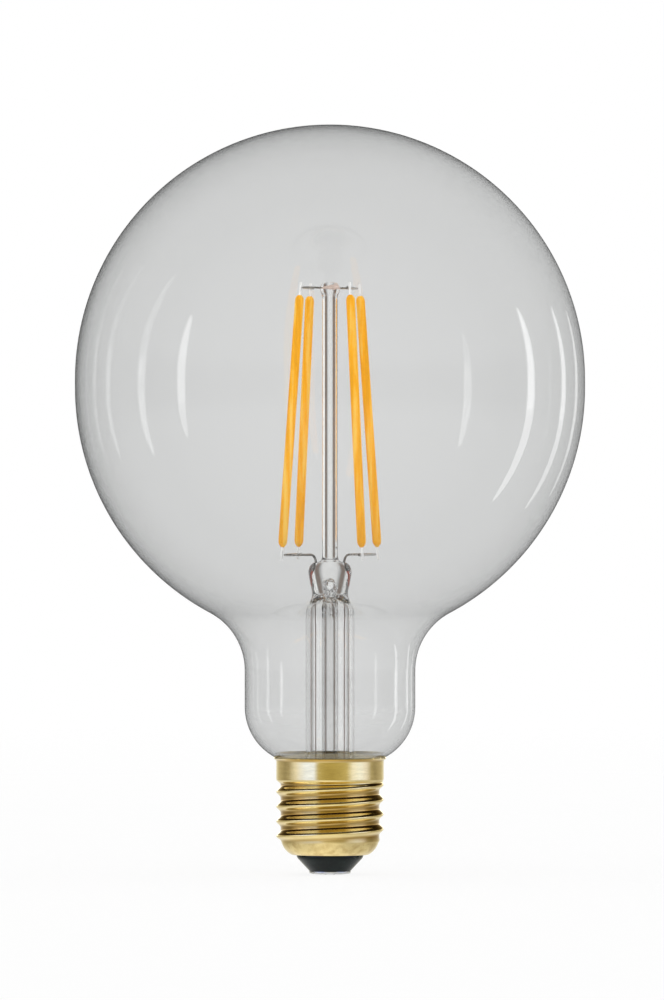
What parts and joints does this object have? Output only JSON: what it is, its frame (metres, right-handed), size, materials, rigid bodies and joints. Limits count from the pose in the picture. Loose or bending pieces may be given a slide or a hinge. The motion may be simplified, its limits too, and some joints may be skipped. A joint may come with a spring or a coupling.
{
  "type": "globe bulb",
  "caption": "Clear glass globe bulb with upright LED filaments on a glass stem, standing on a brass screw cap.",
  "frame": {"origin": "centre of the tip contact's end face", "axes": "+Z along the bulb's axis from the cap up through the globe; -Y is the front of the picture"},
  "size_m": [0.125, 0.125, 0.1838],
  "materials": {
    "clear_glass": "clear",
    "stem_glass": "clear",
    "filament_coating": "satin",
    "tab_metal": "bright",
    "lead_metal": "bright",
    "seal_copper": "satin",
    "cap_brass": "satin",
    "insulator_black": "gloss",
    "contact_metal": "satin",
    "cement": "matte",
    "board": "satin",
    "chip_black": "matte",
    "capacitor_sleeve": "satin",
    "resistor_body": "satin",
    "hook_up_wire": "satin"
  },
  "bodies": {
    "root": {"bridge_rectifier": "chip_black", "bridge_wire": "lead_metal", "cap_cement": "cement", "driver_board": "board", "driver_chip": "chip_black", "filament_inner_left": "filament_coating", "filament_inner_right": "filament_coating", "filament_outer_left": "filament_coating", "filament_outer_right": "filament_coating", "fuse_resistor": "resistor_body", "glass_globe": "clear_glass", "glass_stem": "stem_glass", "high_tab_inner_left": "tab_metal", "high_tab_inner_right": "tab_metal", "high_tab_outer_left": "tab_metal", "high_tab_outer_right": "tab_metal", "inner_lead_left": "lead_metal", "inner_lead_right": "lead_metal", "insulator": "insulator_black", "live_wire": "hook_up_wire", "low_tab_inner_left": "tab_metal", "low_tab_inner_right": "tab_metal", "low_tab_outer_left": "tab_metal", "low_tab_outer_right": "tab_metal", "neutral_wire": "hook_up_wire", "outer_lead_left": "lead_metal", "outer_lead_right": "lead_metal", "screw_shell": "cap_brass", "seal_wire_left": "seal_copper", "seal_wire_right": "seal_copper", "smoothing_capacitor": "capacitor_sleeve", "tip_contact": "contact_metal"}
  },
  "joints": []
}
